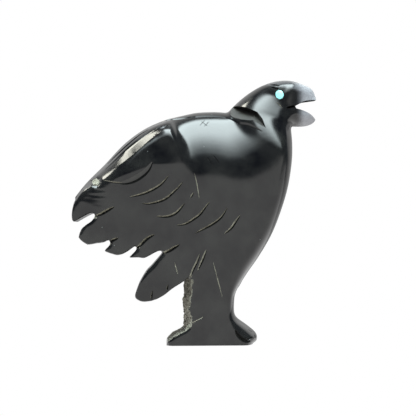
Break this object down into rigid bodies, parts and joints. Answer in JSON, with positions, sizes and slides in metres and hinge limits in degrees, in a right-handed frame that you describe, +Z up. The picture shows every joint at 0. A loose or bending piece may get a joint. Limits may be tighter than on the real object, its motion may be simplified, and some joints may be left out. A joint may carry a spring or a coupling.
{
  "type": "raven fetish carving",
  "caption": "Polished black stone raven with an open beak, folded flat-sided wings, cut tail feathers and inlaid turquoise eyes, standing on its own foot block.",
  "frame": {"origin": "middle of the flat underside of the foot block, where it stands on a shelf", "axes": "+X towards the beak, +Z up through the bird, +Y towards the bird's left side; y = 0 is the mirror plane"},
  "size_m": [0.0616, 0.022, 0.066],
  "materials": {
    "black_stone": "polished",
    "turquoise": "polished"
  },
  "bodies": {
    "root": {"raven": "black_stone", "eye_right": "turquoise", "eye_left": "turquoise"}
  },
  "joints": []
}
